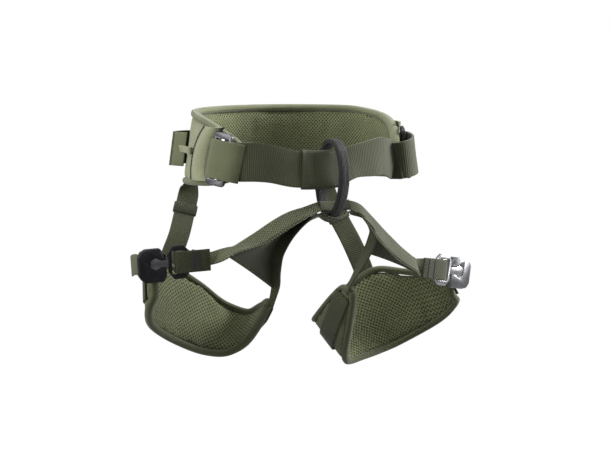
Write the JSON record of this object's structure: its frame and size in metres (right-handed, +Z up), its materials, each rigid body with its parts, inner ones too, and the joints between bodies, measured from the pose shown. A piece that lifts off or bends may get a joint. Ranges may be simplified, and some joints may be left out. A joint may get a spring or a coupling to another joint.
{
  "type": "tree climbing saddle",
  "caption": "Arborist sit harness: padded waist belt, two padded leg loops with quick-release buckles, elevator straps with keepers and a sewn belay loop",
  "frame": {"origin": "the middle of the waist opening, level with the middle of the waist pad", "axes": "+X is the wearer's left, -Y is the wearer's front, +Z is up"},
  "size_m": [0.4436, 0.2501, 0.3202],
  "materials": {
    "canvas": "pebble-weave polyester face cloth, matt",
    "canvas_dark": "smooth coated cloth, soft sheen",
    "foam": "closed-cell foam",
    "spacer_mesh": "3D spacer mesh with small open cells",
    "binding": "grosgrain binding tape",
    "webbing": "woven polyester webbing, matt",
    "black_webbing": "heavy sewn webbing, matt",
    "elastic": "elastic band",
    "alloy_grey": "satin anodised",
    "alloy_dark": "dark anodised, satin",
    "alloy_silver": "satin tumbled",
    "steel_pin": "ground steel"
  },
  "bodies": {
    "harness": {"waist_shell": "canvas", "waist_foam": "foam", "waist_mesh": "spacer_mesh", "waist_binding": "binding", "waist_load_web": "webbing", "slot_panel_left": "canvas", "slot_panel_right": "canvas", "gear_loop_left": "webbing", "gear_loop_right": "webbing", "tape_loop_left": "webbing", "tape_loop_right": "webbing", "belt_web": "webbing", "belt_sleeve": "canvas_dark", "belt_frame_left": "alloy_grey", "belt_frame_right": "alloy_grey", "crotch_bridge": "webbing", "crotch_wrap": "webbing", "elevator_left": "webbing", "elevator_right": "webbing", "leg_shell_left": "canvas", "leg_shell_right": "canvas", "leg_foam_left": "foam", "leg_foam_right": "foam", "leg_mesh_left": "spacer_mesh", "leg_mesh_right": "spacer_mesh", "leg_binding_left": "binding", "leg_binding_right": "binding", "leg_outer_web_left": "webbing", "leg_outer_web_right": "webbing", "leg_inner_web_left": "webbing", "leg_inner_web_right": "webbing", "leg_strap_left": "webbing", "leg_strap_right": "webbing", "gusset_left": "canvas_dark", "gusset_right": "canvas_dark", "buckle_body_left": "alloy_silver", "buckle_body_right": "alloy_dark", "anchor_bar_left": "steel_pin", "anchor_bar_right": "steel_pin", "anchor_web_left": "webbing", "anchor_web_right": "webbing"},
    "belay_loop": {"belay_loop": "black_webbing"},
    "keeper_left": {"keeper_left": "elastic"},
    "keeper_right": {"keeper_right": "elastic"},
    "belt_bar_left": {"belt_bar_left": "steel_pin"},
    "belt_bar_right": {"belt_bar_right": "steel_pin"},
    "stud_left": {"stud_frame_left": "alloy_silver"},
    "stud_right": {"stud_frame_right": "alloy_dark"},
    "strap_bar_left": {"strap_bar_left": "steel_pin", "strap_fold_left": "webbing"},
    "strap_bar_right": {"strap_bar_right": "steel_pin", "strap_fold_right": "webbing"}
  },
  "joints": [
    {"name": "belay_loop_swing", "type": "hinge", "parent": "harness", "child": "belay_loop", "pos_m": [0, -0.097, -0.0636], "axis": [1, 0, 0], "range_deg": [-8, 7]},
    {"name": "keeper_left_slide", "type": "slide", "parent": "harness", "child": "keeper_left", "axis": [0.2896, -0.4276, -0.8563], "range_m": [-0.006, 0.006]},
    {"name": "belt_bar_left_slide", "type": "slide", "parent": "harness", "child": "belt_bar_left", "axis": [0.4083, 0.9024, 0.1378], "range_m": [-0.0018, 0.0018]},
    {"name": "stud_left_lift", "type": "slide", "parent": "harness", "child": "stud_left", "axis": [0.1908, -0.9816, 0], "range_m": [0, 0.012]},
    {"name": "strap_bar_left_slide", "type": "slide", "parent": "stud_left", "child": "strap_bar_left", "axis": [0.9695, 0.1885, -0.1564], "range_m": [0, 0.0022]},
    {"name": "keeper_right_slide", "type": "slide", "parent": "harness", "child": "keeper_right", "axis": [-0.4342, -0.4968, -0.7514], "range_m": [-0.006, 0.006]},
    {"name": "belt_bar_right_slide", "type": "slide", "parent": "harness", "child": "belt_bar_right", "axis": [-0.4083, 0.9024, 0.1378], "range_m": [-0.0018, 0.0018]},
    {"name": "stud_right_lift", "type": "slide", "parent": "harness", "child": "stud_right", "axis": [-0.1908, -0.9816, 0], "range_m": [0, 0.012]},
    {"name": "strap_bar_right_slide", "type": "slide", "parent": "stud_right", "child": "strap_bar_right", "axis": [-0.9803, 0.1906, -0.0523], "range_m": [0, 0.0022]}
  ]
}
